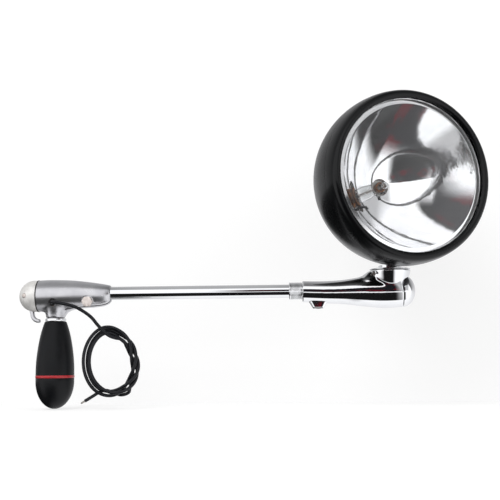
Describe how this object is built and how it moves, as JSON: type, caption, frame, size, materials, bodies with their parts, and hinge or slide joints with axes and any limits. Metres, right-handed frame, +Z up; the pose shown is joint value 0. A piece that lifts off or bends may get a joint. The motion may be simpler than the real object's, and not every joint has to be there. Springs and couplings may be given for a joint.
{
  "type": "post mount spotlight",
  "caption": "Chromed tube with a bowl-shaped spotlight on one end, turned by a drop-shaped handle on the other through bevel gears, with a coil of spare wire.",
  "frame": {"origin": "on the shaft axis, at the middle of the visible tube", "axes": "+X along the shaft towards the lamp, +Z up, the lamp faces -Y turned a little towards +X, the handle hangs along -Z"},
  "size_m": [0.4529, 0.1386, 0.2953],
  "materials": {
    "chrome": "bright plating with light wear",
    "cast_alloy": "satin grey casting",
    "matt_alloy": "matt, lightly oxidised",
    "steel": "plain machined",
    "bronze": "plain bearing bronze",
    "brass": "satin",
    "black_paint": "satin gloss black",
    "black_grip": "satin black",
    "red_ring": "satin red",
    "mirror": "silvered mirror",
    "glass": "clear",
    "rubber": "matt",
    "wire": "satin black insulation",
    "bare_wire": "tinned strands",
    "switch_case": "moulded"
  },
  "bodies": {
    "arm": {"shaft_tube": "chrome", "inner_shaft_bush": "bronze", "outer_shaft_bush": "bronze", "inner_head": "cast_alloy", "clamp_bolt": "steel", "clamp_nut": "steel", "inner_head_cap": "matt_alloy", "cap_screw_front": "steel", "cap_screw_rear": "steel", "switch_body": "switch_case", "trigger_pin": "steel", "handle_bush": "bronze", "lock_collar": "chrome", "outer_head": "chrome", "outer_head_cap": "chrome", "tube_set_screw": "steel", "bush_set_screw": "steel", "post_bush": "bronze", "post_washer": "chrome", "feed_wire": "wire", "wire_grommet": "rubber", "switch_lead": "wire", "wire_lead": "wire", "wire_coil": "wire", "wire_tail": "wire", "wire_bare_end": "bare_wire"},
    "drive": {"drive_tube": "steel", "inner_drive_gear": "steel", "outer_drive_gear": "steel"},
    "handle": {"handle_rod": "steel", "handle_gear": "steel", "handle_ferrule": "chrome", "handle_grip": "black_grip", "handle_ring": "red_ring", "handle_end": "black_grip"},
    "lamp": {"lamp_gear": "steel", "lamp_stud": "chrome", "stud_seat": "steel", "stud_nut": "steel", "lamp_housing": "black_paint", "lamp_rim": "black_paint", "lens": "glass", "lens_gasket": "rubber", "reflector": "mirror", "rim_clip_1": "steel", "rim_clip_2": "steel", "rim_clip_3": "steel", "bulb_holder": "steel", "bulb_base": "brass", "bulb_glass": "glass", "lamp_wire": "wire"},
    "trigger": {"trigger": "cast_alloy"}
  },
  "joints": [
    {"name": "handle_turn", "type": "hinge", "parent": "arm", "child": "handle", "pos_m": [-0.142, 0, 0], "axis": [0, 0, 1], "range_deg": [-170, 170]},
    {"name": "drive_turn", "type": "hinge", "parent": "arm", "child": "drive", "pos_m": [0, 0, 0], "axis": [1, 0, 0], "range_deg": [-170, 170]},
    {"name": "lamp_turn", "type": "hinge", "parent": "arm", "child": "lamp", "pos_m": [0.1823, 0, 0], "axis": [0, 0, 1], "range_deg": [-170, 170]},
    {"name": "trigger_swing", "type": "hinge", "parent": "arm", "child": "trigger", "pos_m": [-0.1672, 0, -0.01], "axis": [0, 1, 0], "range_deg": [0, 20], "stiffness_Nm_per_rad": 0.05, "springref_deg": -8.59}
  ],
  "couplings": [
    {"joint": "drive_turn", "follows": "handle_turn", "ratio": 1},
    {"joint": "lamp_turn", "follows": "handle_turn", "ratio": 1}
  ]
}
